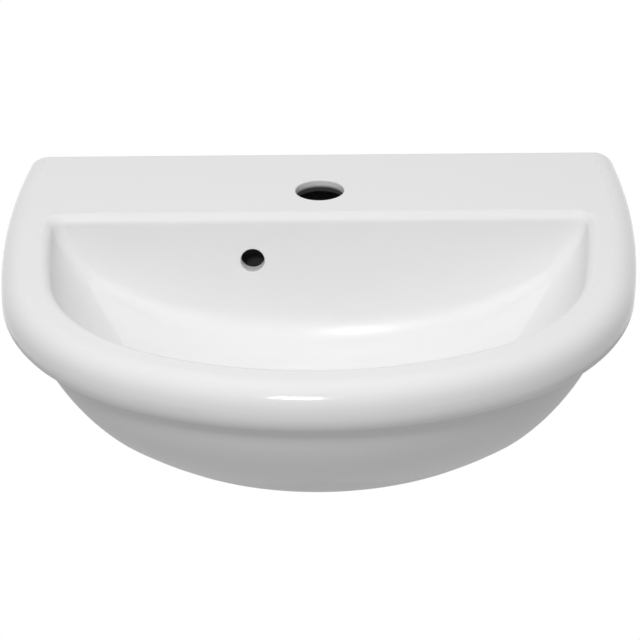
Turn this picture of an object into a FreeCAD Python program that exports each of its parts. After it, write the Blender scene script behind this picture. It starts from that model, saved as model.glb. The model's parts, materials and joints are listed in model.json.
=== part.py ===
import FreeCAD, Part
import math
import os
import Sketcher
from FreeCAD import Placement, Rotation, Vector

# A small wall hung basin in glazed vitreous china, 448 mm wide and 366 mm deep.
# Frame: +X to the right, +Y into the wall, +Z up. The origin lies on the wall's face,
# midway between the two wall fixings. The china stands in front of the wall, at -Y.

os.makedirs("parts", exist_ok=True)
doc = FreeCAD.newDocument("wall_hung_basin")
sheet = doc.addObject("Spreadsheet::Sheet", "sizes")

# ---------------------------------------------------------------- driving sizes (mm, degrees)
DRIVING = [
    ("deck_height", 65.0, "top of the deck above the wall fixings"),
    ("half_width", 224.0, "half of the china's width"),
    ("reach", 366.0, "wall to the front of the rim"),
    ("widest_at", 88.0, "distance from the wall to the widest place"),
    ("side_bow", 3.66, "plan radius of each side, in half widths"),
    ("corner_bow", 0.7634, "plan radius of each front corner, in half widths"),
    ("front_bow", 1.1964, "plan radius of the front, in half widths"),
    ("rim_roll", 16.9, "radius of the rolled edge outside"),
    ("rim_height", 35.5, "height of the rolled rim"),
    ("rim_inset", 33.5, "outside of the rim to the sharp inner edge"),
    ("rim_inner_roll", 16.0, "radius of the rolled edge inside"),
    ("tuck", 13.5, "how far the skirt stands in under the rim"),
    ("crease_radius", 6.0, "hollow between rim and skirt"),
    ("skirt_depth", 150.0, "deck to the underside"),
    ("skirt_side_inset", 82.0, "rim to the foot of the skirt at the sides"),
    ("skirt_front_inset", 128.0, "rim to the foot of the skirt at the front"),
    ("skirt_side_power", 1.4, "fullness of the skirt at the sides"),
    ("skirt_front_power", 1.7, "fullness of the skirt at the front"),
    ("foot_radius", 9.0, "rounding round the underside"),
    ("china_wall", 11.0, "thickness of the china"),
    ("deck_thickness", 9.0, "thickness of the deck at the tap hole"),
    ("plate_thickness", 14.0, "thickness of the china against the wall"),
    ("chord", 105.0, "wall to the bowl's straight back edge"),
    ("chord_roll", 8.0, "rounding along the bowl's back edge"),
    ("back_draft", 6.0, "slope of the bowl's back"),
    ("bowl_depth", 104.0, "deck to the bowl's lowest line"),
    ("bowl_side_run", 125.0, "how far the bowl's sides draw in by its floor"),
    ("bowl_front_run", 62.0, "how far the bowl's front draws in by its floor"),
    ("bowl_side_power", 1.8, "fullness of the bowl's sides"),
    ("bowl_front_power", 1.8, "fullness of the bowl's front"),
    ("bowl_overlap", 30.0, "how far the bowl's plan runs back before its flat back trims it"),
    ("bowl_below", 15.0, "how far the bowl's walls run down past its lowest line"),
    ("floor_radius", 300.0, "floor's radius across the bowl"),
    ("floor_sweep", 450.0, "floor's radius from back to front"),
    ("floor_blend", 9.0, "radius between the bowl's walls and floor"),
    ("back_blend", 36.0, "radius between the bowl's back and floor"),
    ("back_corner", 9.0, "the same radius where it reaches the deck"),
    ("tap_hole_radius", 17.5, "tap hole"),
    ("tap_hole_from_wall", 62.5, "wall to the tap hole's axis"),
    ("glaze_round", 1.3, "glazed rounding of the holes"),
    ("overflow_radius", 8.5, "overflow hole"),
    ("overflow_side", 48.0, "overflow hole left of the middle"),
    ("overflow_down", 34.5, "deck to the overflow hole's axis"),
    ("duct_width", 18.0, "overflow duct, across"),
    ("duct_depth", 13.0, "overflow duct, front to back"),
    ("duct_skin", 8.0, "china round the overflow duct"),
    ("drain_from_wall", 186.0, "wall to the waste's axis"),
    ("drain_radius", 23.0, "hole for the waste"),
    ("drain_seat_radius", 34.0, "sunk seat for the waste's flange"),
    ("drain_sink", 5.5, "depth of that seat below the floor"),
    ("drain_boss", 12.0, "china round the hole for the waste"),
    ("nut_recess_radius", 35.0, "recess under the waste for its nut"),
    ("nut_recess_depth", 16.0, "depth of that recess"),
    ("service_half_width", 82.0, "half of the opening for the pipes"),
    ("service_height", 46.0, "height of the pipe opening in the wall plate"),
    ("fixing_spacing", 200.0, "between the two wall fixings"),
    ("fixing_hole_radius", 8.0, "hole in the china for a fixing"),
    ("thread_radius", 5.0, "M10 hanger bolt"),
    ("bolt_reach", 42.0, "hanger bolt in front of the wall"),
    ("bolt_bury", 50.0, "hanger bolt in the wall"),
    ("plug_radius", 7.0, "wall plug"),
    ("plug_length", 65.0, "wall plug"),
    ("plug_nose", 2.0, "length of the wall plug's tapered nose"),
    ("thread_depth", 0.6, "M10 thread, crest to root"),
    ("bolt_bevel", 1.0, "bevel at the front of a hanger bolt"),
    ("bolt_point", 6.0, "length of a hanger bolt's point"),
    ("sleeve_gap", 0.2, "nylon sleeve inside its hole"),
    ("sleeve_short", 1.0, "end of the nylon sleeve to the wall"),
    ("washer_gap", 0.25, "steel washer round the bolt, past the running gap"),
    ("sleeve_flange_radius", 15.0, "nylon sleeve's flange"),
    ("sleeve_flange", 4.0, "thickness of that flange"),
    ("washer_radius", 12.0, "steel washer"),
    ("washer_thickness", 2.0, "steel washer"),
    ("nut_across", 17.0, "M10 nut across its flats"),
    ("nut_thickness", 8.0, "M10 nut"),
    ("waste_flange_radius", 32.0, "waste flange"),
    ("waste_flange", 2.6, "thickness of the waste flange"),
    ("waste_radius", 20.95, "waste tail, G 1 1/4 thread"),
    ("waste_wall", 2.2, "wall of the waste tail"),
    ("waste_tail", 17.0, "thread left below the back nut for the trap"),
    ("slot_width", 9.0, "overflow slot in the waste"),
    ("slot_height", 11.0, "overflow slot in the waste"),
    ("slot_down", 6.0, "waste seat to the top of the slot"),
    ("waste_neck_gap", 0.4, "waste's neck inside the hole for it"),
    ("waste_mouth", 1.4, "funnel at the waste's mouth, past the neck"),
    ("waste_thread_top", 5.0, "waste seat to the end of its thread"),
    ("waste_neck_taper", 1.5, "step from the waste's thread to its neck"),
    ("waste_flange_edge", 1.0, "bevel round the waste flange"),
    ("hub_wall", 2.5, "ring in the waste round the cartridge"),
    ("seal_margin", 1.0, "flange seal inside the waste flange"),
    ("washer_margin", 2.0, "rubber washer inside the recess under the waste"),
    ("flange_seal", 2.0, "seal under the waste flange"),
    ("lower_seal", 4.0, "rubber washer under the china"),
    ("slip_washer", 1.5, "slip washer above the back nut"),
    ("back_nut_across", 52.0, "back nut across its flats"),
    ("back_nut", 8.5, "thickness of the back nut"),
    ("plug_cap_radius", 30.0, "plug cap"),
    ("plug_cap_edge", 1.6, "thickness of the plug cap at its edge"),
    ("plug_cap_dome", 3.0, "height of the plug cap's dome"),
    ("plug_travel", 9.0, "lift of the plug"),
    ("plug_core_radius", 15.0, "plug core under the cap"),
    ("plug_core", 7.0, "height of the plug core"),
    ("seat_gap", 0.3, "gap between the plug and what it closes on"),
    ("cartridge_radius", 7.0, "click cartridge"),
    ("cartridge_length", 24.0, "click cartridge"),
    ("plunger_head", 4.8, "radius of the plunger's head"),
    ("plunger_rod", 2.5, "radius of the plunger's rod"),
    ("running_gap", 0.06, "radial gap of sliding pieces"),
    ("spider_drop", 7.0, "overflow slots to the arms that carry the cartridge"),
    ("spider_height", 6.0, "height of the arms that carry the cartridge"),
    ("arm_width", 4.0, "width of those arms"),
    ("cartridge_cap", 3.0, "cap nut of the cartridge"),
    ("cap_nut_gap", 1.9, "cap nut below the closed plug core"),
    ("cap_nut_edge", 0.8, "bevel round the cap nut"),
    ("cartridge_floor", 2.0, "floor of the cartridge"),
    ("plunger_head_height", 3.0, "height of the plunger's head"),
    ("plug_seal_height", 2.5, "rubber ring round the plug core"),
    ("plug_seal_out", 2.0, "how far that ring stands out of the core"),
    ("groove_depth", 1.5, "groove for that ring"),
    ("groove_up", 2.0, "foot of the core to that groove"),
    ("core_edge", 1.0, "bevel round the foot of the core"),
    ("spring_wire", 0.8, "wire of the latch spring"),
    ("spring_turns", 5.0, "turns of the latch spring"),
    ("spring_gap", 0.4, "latch spring inside the cartridge"),
]
for row, (alias, value, note) in enumerate(DRIVING, start=1):
    sheet.set("A%d" % row, alias)
    sheet.set("B%d" % row, repr(value))
    sheet.set("C%d" % row, note)
    sheet.setAlias("B%d" % row, alias)
doc.recompute()


class Size:
    """A length or angle that knows both its value and the expression it comes from."""

    def __init__(self, text, value):
        self.text = text
        self.value = float(value)

    @staticmethod
    def of(thing):
        if isinstance(thing, Size):
            return thing
        return Size("(%r)" % float(thing), thing)

    def join(self, sign, other, value):
        return Size("(%s %s %s)" % (self.text, sign, other.text), value)

    def __add__(self, other):
        other = Size.of(other)
        return self.join("+", other, self.value + other.value)

    def __sub__(self, other):
        other = Size.of(other)
        return self.join("-", other, self.value - other.value)

    def __mul__(self, other):
        other = Size.of(other)
        return self.join("*", other, self.value * other.value)

    def __truediv__(self, other):
        other = Size.of(other)
        return self.join("/", other, self.value / other.value)

    def __pow__(self, other):
        other = Size.of(other)
        return self.join("^", other, self.value ** other.value)

    def __radd__(self, other):
        return Size.of(other) + self

    def __rsub__(self, other):
        return Size.of(other) - self

    def __neg__(self):
        return Size("(-%s)" % self.text, -self.value)


def tan(angle):
    return Size("tan(%s * 1 deg)" % angle.text, math.tan(math.radians(angle.value)))


S = {alias: Size("sizes." + alias, sheet.get(alias)) for alias, value, note in DRIVING}
ZERO = Size.of(0)
OVER = 6.0  # how far a cutting shape runs past the face it opens


def bind(thing, **sizes):
    """Ties properties of an object to sizes; a double underscore stands for a dot."""
    for name, size in sizes.items():
        thing.setExpression(name.replace("__", "."), Size.of(size).text)


def place(thing, x=0, y=0, z=0):
    bind(thing, Placement__Base__x=x, Placement__Base__y=y, Placement__Base__z=z)


# ---------------------------------------------------------------- bodies and sketches
def new_body(name):
    body = doc.addObject("PartDesign::Body", name)
    body.Label = name
    return body


def new_sketch(body, name, role, lift=ZERO, slide=(ZERO, ZERO)):
    """A sketch on one of the body's own origin planes, lifted along the plane's normal."""
    sketch = body.newObject("Sketcher::SketchObject", name)
    plane = [f for f in body.Origin.OriginFeatures if f.Role == role][0]
    sketch.AttachmentSupport = [(plane, "")]
    sketch.MapMode = "FlatFace"
    bind(sketch, AttachmentOffset__Base__x=slide[0], AttachmentOffset__Base__y=slide[1],
         AttachmentOffset__Base__z=lift)
    return sketch


def limit(sketch, kind, *args):
    """Adds a constraint; a Size as its last argument ties it to the sizes."""
    if args and isinstance(args[-1], Size):
        number = sketch.addConstraint(Sketcher.Constraint(kind, *args[:-1], args[-1].value))
        sketch.setExpression("Constraints[%d]" % number, args[-1].text)
    else:
        sketch.addConstraint(Sketcher.Constraint(kind, *args))


START, END, CENTRE = range(1, 4)
H_AXIS, V_AXIS = range(-1, -3, -1)
ORIGIN_POINT = (H_AXIS, START)


def pin_point(sketch, edge, point, x, y):
    """Holds a sketch point at x, y from the sketch's origin."""
    for kind, size, axis in (("DistanceX", x, V_AXIS), ("DistanceY", y, H_AXIS)):
        size = Size.of(size)
        if abs(size.value) < 1e-9:
            limit(sketch, "PointOnObject", edge, point, axis)
        elif size.value > 0:
            limit(sketch, kind, *ORIGIN_POINT, edge, point, size)
        else:
            limit(sketch, kind, edge, point, *ORIGIN_POINT, -size)


def polygon(sketch, points):
    """A closed outline of straight lines through the given points."""
    points = [(Size.of(x), Size.of(y)) for x, y in points]
    corners = [Vector(x.value, y.value, 0) for x, y in points]
    count = len(points)
    for i in range(count):
        sketch.addGeometry(Part.LineSegment(corners[i], corners[(i + 1) % count]))
    for i in range(count):
        limit(sketch, "Coincident", i, END, (i + 1) % count, START)
    for i, (x, y) in enumerate(points):
        pin_point(sketch, i, START, x, y)


def two_circle_point(first, first_radius, second, second_radius):
    """Where two circles cross, taking the lower crossing."""
    gap = second - first
    along = (first_radius ** 2 - second_radius ** 2 + gap.Length ** 2) / (2 * gap.Length)
    across = math.sqrt(first_radius ** 2 - along ** 2)
    unit = gap / gap.Length
    side = Vector(-unit.y, unit.x, 0)
    foot = first + unit * along
    return min((foot + side * across, foot - side * across), key=lambda p: p.y)


def d_outline(sketch, side_inset, front_inset, back):
    """The basin's D-shaped plan, drawn in from the rim by the two insets.

    Five arcs run round it, each tangent to the next, and a straight line at y = back closes it.
    """
    mean_inset = (side_inset + front_inset) / 2
    half = S["half_width"] - side_inset
    side_r = S["half_width"] * S["side_bow"] - mean_inset
    corner_r = S["half_width"] * S["corner_bow"] - mean_inset
    front_r = S["half_width"] * S["front_bow"] - mean_inset
    side_x = side_r - half
    front_y = S["reach"] - front_inset - front_r

    side_c = Vector(-side_x.value, -S["widest_at"].value, 0)
    front_c = Vector(0, -front_y.value, 0)
    corner_c = two_circle_point(side_c, side_r.value - corner_r.value,
                                front_c, front_r.value - corner_r.value)
    lean = corner_c - side_c
    join_side = math.atan2(lean.y, lean.x)
    lean = corner_c - front_c
    join_front = math.atan2(lean.y, lean.x)
    top = math.asin((back.value + S["widest_at"].value) / side_r.value)
    up = Vector(0, 0, 1)

    def mirrored(centre):
        return Vector(-centre.x, centre.y, 0)

    def arc(centre, radius, start, end):
        sketch.addGeometry(Part.ArcOfCircle(Part.Circle(centre, up, radius.value), start, end))

    arc(side_c, side_r, join_side, top)
    arc(corner_c, corner_r, join_front, join_side)
    arc(front_c, front_r, math.pi - join_front - 2 * math.pi, join_front)
    arc(mirrored(corner_c), corner_r, math.pi - join_side, math.pi - join_front)
    arc(mirrored(side_c), side_r, math.pi - top, math.pi - join_side)
    half_back = side_c.x + side_r.value * math.cos(top)
    sketch.addGeometry(Part.LineSegment(Vector(half_back, back.value, 0),
                                        Vector(-half_back, back.value, 0)))
    for i in range(4):
        limit(sketch, "Tangent", i, START, i + 1, END)
    limit(sketch, "Coincident", 5, START, 0, END)
    limit(sketch, "Coincident", 5, END, 4, START)
    limit(sketch, "Horizontal", 5)
    pin = "DistanceY"
    if back.value > 0:
        limit(sketch, pin, *ORIGIN_POINT, 5, START, back)
    else:
        limit(sketch, pin, 5, START, *ORIGIN_POINT, -back)
    limit(sketch, "Radius", 0, side_r)
    limit(sketch, "Radius", 1, corner_r)
    limit(sketch, "Radius", 2, front_r)
    limit(sketch, "Equal", 0, 4)
    limit(sketch, "Equal", 1, 3)
    limit(sketch, "PointOnObject", 2, CENTRE, V_AXIS)
    limit(sketch, pin, 2, CENTRE, *ORIGIN_POINT, front_y)
    limit(sketch, "DistanceX", 0, CENTRE, *ORIGIN_POINT, side_x)
    limit(sketch, pin, 0, CENTRE, *ORIGIN_POINT, S["widest_at"])
    limit(sketch, "Symmetric", 0, CENTRE, 4, CENTRE, V_AXIS)


def d_sketch(body, name, depth, side_inset, front_inset, back=Size.of(OVER)):
    """A D-shaped outline at a depth below the deck."""
    sketch = new_sketch(body, name, "XY_Plane", lift=S["deck_height"] - depth)
    d_outline(sketch, Size.of(side_inset), Size.of(front_inset), Size.of(back))
    return sketch


def loft(body, name, sketches):
    """A smooth solid through a row of outlines."""
    skin = body.newObject("PartDesign::AdditiveLoft", name)
    skin.Profile = sketches[0]
    skin.Sections = sketches[1:]
    return skin


def turned(name, x, y, points):
    """A turned piece: its half outline, as (radius, height), spun about an upright axis."""
    body = new_body(name)
    sketch = new_sketch(body, name + "_outline", "XZ_Plane")
    polygon(sketch, points)
    spin = body.newObject("PartDesign::Revolution", name + "_turn")
    spin.Profile = sketch
    spin.ReferenceAxis = (sketch, ["V_Axis"])
    spin.Angle = 360
    place(body, x=x, y=y)
    return body


def bar(name, x, y, points):
    """A turned piece that lies along +Y: its half outline, as (radius, distance into the wall)."""
    body = new_body(name)
    sketch = new_sketch(body, name + "_outline", "XY_Plane")
    polygon(sketch, points)
    spin = body.newObject("PartDesign::Revolution", name + "_turn")
    spin.Profile = sketch
    spin.ReferenceAxis = (sketch, ["V_Axis"])
    spin.Angle = 360
    place(body, x=x, y=y)
    return body


def tube(radius_in, radius_out, low, high):
    """The half outline of a plain ring."""
    return [(radius_in, low), (radius_out, low), (radius_out, high), (radius_in, high)]


def box(name, x, y, z, size_x, size_y, size_z):
    block = doc.addObject("Part::Box", name)
    bind(block, Length=size_x, Width=size_y, Height=size_z)
    place(block, x, y, z)
    return block


def cylinder(name, x, y, z, radius, height, along_wall=False):
    rod = doc.addObject("Part::Cylinder", name)
    bind(rod, Radius=radius, Height=height)
    if along_wall:
        rod.Placement = Placement(Vector(), Rotation(Vector(1, 0, 0), -90))
    place(rod, x, y, z)
    return rod


def cut(name, base, tool):
    result = doc.addObject("Part::Cut", name)
    result.Base = base
    result.Tool = tool
    return result


def fuse(name, *shapes):
    result = doc.addObject("Part::MultiFuse", name)
    result.Shapes = list(shapes)
    return result


def common(name, *shapes):
    result = doc.addObject("Part::MultiCommon", name)
    result.Shapes = list(shapes)
    return result


# ---------------------------------------------------------------- choosing edges
def edge_turn(shape, edge):
    """Angle in degrees between the two faces that meet at an edge."""
    middle = edge.valueAt((edge.FirstParameter + edge.LastParameter) / 2)
    normals = []
    for face in shape.ancestorsOfType(edge, Part.Face):
        u, v = face.Surface.parameter(middle)
        normals.append(face.normalAt(u, v))
    if len(normals) < 2:
        return 0.0
    return math.degrees(normals[0].getAngle(normals[1]))


def edges_where(shape, test):
    """Numbers, from 1, of the edges that pass a test of their middle point and the edge."""
    found = []
    for number, edge in enumerate(shape.Edges, start=1):
        middle = edge.valueAt((edge.FirstParameter + edge.LastParameter) / 2)
        if test(middle, edge):
            found.append(number)
    return found


def names(numbers):
    return ["Edge%d" % n for n in numbers]


def near(a, b, gap=0.05):
    return abs(a - b) < gap


deck = S["deck_height"].value
foot = deck - S["skirt_depth"].value

# ---------------------------------------------------------------- the china, outside
# The rim and deck are one rolled slab. The skirt under it is a loft of D-shaped outlines that
# draws in towards its foot. Both run past the wall's plane and are trimmed back to it.
SECTIONS = 5  # outlines in each loft
ANGLE_SMOOTH = 15  # degrees; edges that turn less than this are already smooth


def level(edge):
    return abs(edge.tangentAt(edge.FirstParameter).z) < 0.5


def soften(name, base, radii):
    """Rounds numbered edges of a shape; radii holds (number, first radius, last radius)."""
    soft = doc.addObject("Part::Fillet", name)
    soft.Base = base
    soft.Edges = radii
    doc.recompute()
    return soft


outer = new_body("china_outside")
rim_plan = d_sketch(outer, "rim_plan", ZERO, ZERO, ZERO)
rim_slab = outer.newObject("PartDesign::Pad", "rim_slab")
rim_slab.Profile = rim_plan
rim_slab.Reversed = True
bind(rim_slab, Length=S["rim_height"])
doc.recompute()
rolled = edges_where(rim_slab.Shape, lambda p, e: p.y < 0 and level(e))
rim_rolled = outer.newObject("PartDesign::Fillet", "rim_rolled")
rim_rolled.Base = (rim_slab, names(rolled))
bind(rim_rolled, Radius=S["rim_roll"])


def skirt_plans(body, name, skin, lowest):
    """The skirt's outlines, drawn in by a skin's thickness, from the rim down to lowest."""
    plans = []
    for k in range(SECTIONS):
        share = Size.of(k / (SECTIONS - 1))
        depth = S["rim_roll"] + (lowest - S["rim_roll"]) * share
        fall = share ** S["skirt_side_power"], share ** S["skirt_front_power"]
        side = S["tuck"] + (S["skirt_side_inset"] - S["tuck"]) * fall[0] + skin
        front = S["tuck"] + (S["skirt_front_inset"] - S["tuck"]) * fall[1] + skin
        plans.append(d_sketch(body, "%s_%d" % (name, k), depth, side, front))
    return plans


skirt = loft(outer, "skirt", skirt_plans(outer, "skirt_plan", ZERO, S["skirt_depth"]))
doc.recompute()
skirt_foot = outer.newObject("PartDesign::Fillet", "skirt_foot")
skirt_foot.Base = (skirt, names(edges_where(
    skirt.Shape, lambda p, e: near(p.z, foot) and p.y < 0)))
bind(skirt_foot, Radius=S["foot_radius"])

far = S["half_width"] * 4
past_wall = box("past_wall", -far / 2, ZERO, -far / 2, far, far, far)
outer_trimmed = cut("china_to_wall", outer, past_wall)
doc.recompute()
below_rim = deck - S["rim_height"].value


def in_crease(p, e):
    beside = below_rim - 1 < p.z < deck - S["rim_roll"].value - 1
    return p.y < -1 and level(e) and beside and edge_turn(outer_trimmed.Shape, e) > ANGLE_SMOOTH


crease = S["crease_radius"].value
outer_soft = soften("china_creased", outer_trimmed,
                    [(n, crease, crease) for n in edges_where(outer_trimmed.Shape, in_crease)])


# ---------------------------------------------------------------- the bowl
# A D-shaped dish with a trough for its floor is cut off by the bowl's flat back. The same
# shape, grown by the china's thickness, later keeps the hollow of the casting off the bowl.
def trough_outline(sketch, skin):
    """Two arcs that meet on the axis of the trough, closed over the line it is swept round."""
    radius = S["floor_radius"] + skin
    half = S["half_width"] - skin
    rise = S["floor_radius"] - S["floor_sweep"]
    drop = math.sqrt(radius.value ** 2 - half.value ** 2)
    middle = Vector(0, rise.value, 0)
    left = Vector(-half.value, rise.value - drop, 0)
    right = Vector(half.value, rise.value - drop, 0)
    ring = Part.Circle(middle, Vector(0, 0, 1), radius.value)
    down = -math.pi / 2
    swing = math.asin(half.value / radius.value)
    sketch.addGeometry(Part.ArcOfCircle(ring, down - swing, down))
    sketch.addGeometry(Part.ArcOfCircle(ring, down, down + swing))
    corners = [right, Vector(right.x, 0, 0), Vector(left.x, 0, 0), left]
    for a, b in zip(corners, corners[1:]):
        sketch.addGeometry(Part.LineSegment(a, b))
    count = 5
    for i in range(count):
        limit(sketch, "Coincident", i, END, (i + 1) % count, START)
    limit(sketch, "Coincident", 0, CENTRE, 1, CENTRE)
    limit(sketch, "Radius", 0, radius)
    limit(sketch, "PointOnObject", 0, END, V_AXIS)
    limit(sketch, "Vertical", 2)
    limit(sketch, "Vertical", 4)
    limit(sketch, "PointOnObject", 3, START, H_AXIS)
    limit(sketch, "PointOnObject", 3, END, H_AXIS)
    pin_point(sketch, 0, CENTRE, ZERO, rise)
    limit(sketch, "DistanceX", *ORIGIN_POINT, 3, START, half)
    limit(sketch, "DistanceX", 3, END, *ORIGIN_POINT, half)


def back_plane(skin, depth):
    """Where the bowl's back, or the china behind it, lies at a depth below the deck."""
    return -S["chord"] + skin - tan(S["back_draft"]) * depth


def bowl_space(name, skin):
    """The bowl's dish, its floor and the space in front of its flat back, without roundings."""
    inset = S["rim_inset"] - skin
    back = back_plane(skin, ZERO) + S["bowl_overlap"]
    lowest = S["bowl_depth"] + S["bowl_below"]
    dish = new_body(name + "_dish")
    plans = [d_sketch(dish, name + "_plan_over", Size.of(-OVER), inset, inset, back)]
    for k in range(SECTIONS):
        share = Size.of(k / (SECTIONS - 1))
        side = inset + S["bowl_side_run"] * share ** S["bowl_side_power"]
        front = inset + S["bowl_front_run"] * share ** S["bowl_front_power"]
        plans.append(d_sketch(dish, "%s_plan_%d" % (name, k), lowest * share, side, front, back))
    loft(dish, name + "_walls", plans)

    trough = new_body(name + "_trough")
    axis_height = S["deck_height"] - S["bowl_depth"] + S["floor_sweep"]
    profile = new_sketch(trough, name + "_floor_profile", "XZ_Plane", lift=S["drain_from_wall"],
                         slide=(ZERO, axis_height))
    trough_outline(profile, skin)
    spin = trough.newObject("PartDesign::Revolution", name + "_floor")
    spin.Profile = profile
    spin.ReferenceAxis = (profile, ["H_Axis"])
    spin.Angle = 360

    before = new_body(name + "_front")
    side_view = new_sketch(before, name + "_side_view", "YZ_Plane")
    tall = S["bowl_depth"] * 2
    polygon(side_view, [
        (back_plane(skin, tall), S["deck_height"] - tall),
        (back_plane(skin, -tall), S["deck_height"] + tall),
        (-S["reach"] * 2, S["deck_height"] + tall),
        (-S["reach"] * 2, S["deck_height"] - tall)])
    wedge = before.newObject("PartDesign::Pad", name + "_before_back")
    wedge.Profile = side_view
    wedge.Midplane = True
    bind(wedge, Length=S["half_width"] * 4)
    return dish, trough, before


dish, trough, before = bowl_space("bowl", ZERO)
bowl_deep = common("bowl_deep", dish, trough)
doc.recompute()
round_floor = S["floor_blend"].value
bowl_start = (back_plane(ZERO, ZERO) + S["bowl_overlap"] - 1).value


def round_the_floor(p, e):
    low = p.z < deck - S["bowl_depth"].value / 4
    return low and p.y < bowl_start and level(e) \
        and edge_turn(bowl_deep.Shape, e) > ANGLE_SMOOTH / 2


dish_soft = soften("dish_soft", bowl_deep, [
    (n, round_floor, round_floor) for n in edges_where(bowl_deep.Shape, round_the_floor)])
bowl_sharp = common("bowl_sharp", dish_soft, before)
doc.recompute()


def on_back(p, e):
    plane = back_plane(ZERO, Size.of(deck - p.z)).value
    return near(p.y, plane, 0.2) and p.z < deck + OVER - 1 \
        and edge_turn(bowl_sharp.Shape, e) > ANGLE_SMOOTH


def radii_along(edge, test, inside, outside):
    """First and last radius of an edge: one where an end passes a test, the other elsewhere."""
    ends = [edge.valueAt(edge.FirstParameter), edge.valueAt(edge.LastParameter)]
    if edge.Orientation == "Reversed":
        ends.reverse()
    return [inside.value if test(p) else outside.value for p in ends]


# the floor blends widely into the back in the middle and tightly at the corners
bowl = soften("bowl", bowl_sharp, [
    (n, *radii_along(bowl_sharp.Shape.Edges[n - 1], lambda p: near(p.x, 0),
                     S["back_blend"], S["back_corner"]))
    for n in edges_where(bowl_sharp.Shape, on_back)])
scooped = cut("china_scooped", outer_soft, bowl)
doc.recompute()


def bowl_mouth(p, e):
    return near(p.z, deck) and p.y < -S["chord"].value / 2 \
        and edge_turn(scooped.Shape, e) > ANGLE_SMOOTH


# a tight edge along the straight back, a full roll along the rim
rimmed = soften("china_rimmed", scooped, [
    (n, *radii_along(scooped.Shape.Edges[n - 1], lambda p: p.y > -S["chord"].value - 0.1,
                     S["chord_roll"], S["rim_inner_roll"]))
    for n in edges_where(scooped.Shape, bowl_mouth)])


# ---------------------------------------------------------------- the hollow of the casting
# The china is double walled. The hollow follows the skirt inside and keeps off the bowl, the
# boss round the waste and the overflow's housing. It stops at the plate against the wall.
wall_plate = -S["plate_thickness"]
hollow_low = S["skirt_depth"] - S["china_wall"]
cavity = new_body("hollow_outline")
cavity_plans = skirt_plans(cavity, "hollow_plan", S["china_wall"], hollow_low)
roof = d_sketch(cavity, "hollow_roof", S["deck_thickness"], S["tuck"] + S["china_wall"],
                S["tuck"] + S["china_wall"])
loft(cavity, "hollow_loft", [roof] + cavity_plans)
behind = box("hollow_room", -far / 2, -far, -far / 2, far, far + wall_plate, far)
grown_dish, grown_trough, grown_front = bowl_space("grown", S["china_wall"])
grown_bowl = common("grown_bowl", grown_dish, grown_trough, grown_front)

underside = S["deck_height"] - S["skirt_depth"]
drain_y = -S["drain_from_wall"]
seat = S["deck_height"] - S["bowl_depth"] - S["drain_sink"]
recess_top = underside + S["nut_recess_depth"]
boss = cylinder("drain_boss_outline", 0, drain_y, underside - OVER,
                S["nut_recess_radius"] + S["drain_boss"], S["skirt_depth"] / 2)

# the overflow: a hole through the bowl's back, a duct down behind it and a passage to the waste
over_x = -S["overflow_side"]
over_z = S["deck_height"] - S["overflow_down"]
slot_top = seat - S["slot_down"]
slot_low = slot_top - S["slot_height"]
passage_low = slot_low + 1
duct_front = back_plane(S["duct_skin"], S["overflow_down"])
duct_back = duct_front + S["duct_depth"]
duct_top = over_z + S["overflow_radius"] + 1
run_x = -over_x
run_y = drain_y - (duct_front + duct_back) / 2
run_length = math.hypot(run_x.value, run_y.value)
run_angle = math.degrees(math.atan2(run_y.value, run_x.value))


def upright_duct(name, skin):
    return box(name, over_x - S["duct_width"] / 2 - skin, duct_front - skin, passage_low - skin,
               S["duct_width"] + skin * 2, S["duct_depth"] + skin * 2,
               duct_top - passage_low + skin * 2)


def level_duct(name, skin):
    """A passage from the foot of the upright duct to the waste's axis."""
    block = doc.addObject("Part::Box", name)
    bind(block, Length=run_length, Width=S["duct_width"] + skin * 2,
         Height=slot_top - passage_low + skin * 2)
    turn = Rotation(Vector(0, 0, 1), run_angle)
    side = turn.multVec(Vector(0, -(S["duct_width"].value / 2 + skin.value), 0))
    block.Placement = Placement(Vector(), turn)
    place(block, over_x + side.x, (duct_front + duct_back) / 2 + side.y, passage_low - skin)
    return block


housing = fuse("overflow_housing", upright_duct("duct_outside", S["duct_skin"]),
               level_duct("passage_outside", S["duct_skin"]))
kept = fuse("kept_china", grown_bowl, boss, housing)
hollow = cut("hollow", common("hollow_raw", cavity, behind), kept)

# ---------------------------------------------------------------- holes in the china
fixing_x = S["fixing_spacing"] / 2
service_depth = -duct_back - S["duct_skin"] - S["plate_thickness"] - 2
tap_y = -S["tap_hole_from_wall"]
drain_tall = S["bowl_depth"]
holes = [
    cylinder("tap_hole", 0, tap_y, S["deck_height"] - S["deck_thickness"] - OVER,
             S["tap_hole_radius"], S["deck_thickness"] + OVER * 2),
    cylinder("overflow_hole", over_x, duct_front - S["chord"] / 2, over_z,
             S["overflow_radius"], S["chord"] / 2 + S["duct_depth"] / 2, along_wall=True),
    upright_duct("overflow_duct", ZERO),
    level_duct("overflow_passage", ZERO),
    cylinder("drain_seat", 0, drain_y, seat, S["drain_seat_radius"], drain_tall),
    cylinder("drain_hole", 0, drain_y, underside - OVER, S["drain_radius"], drain_tall),
    cylinder("nut_recess", 0, drain_y, underside - OVER, S["nut_recess_radius"],
             S["nut_recess_depth"] + OVER),
    box("service_opening", -S["service_half_width"], wall_plate - service_depth,
        underside - OVER, S["service_half_width"] * 2, service_depth,
        S["china_wall"] + OVER * 2),
    box("pipe_notch", -S["service_half_width"], wall_plate - service_depth / 2,
        underside - OVER, S["service_half_width"] * 2,
        service_depth / 2 + S["plate_thickness"] + OVER, S["service_height"] + OVER),
]
for side, sign in (("left", -1), ("right", 1)):
    holes.append(cylinder("fixing_hole_" + side, fixing_x * sign, wall_plate - OVER, 0,
                          S["fixing_hole_radius"], S["plate_thickness"] + OVER * 2,
                          along_wall=True))
pierced = cut("china_pierced", rimmed, fuse("all_holes", hollow, *holes))
doc.recompute()


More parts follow.
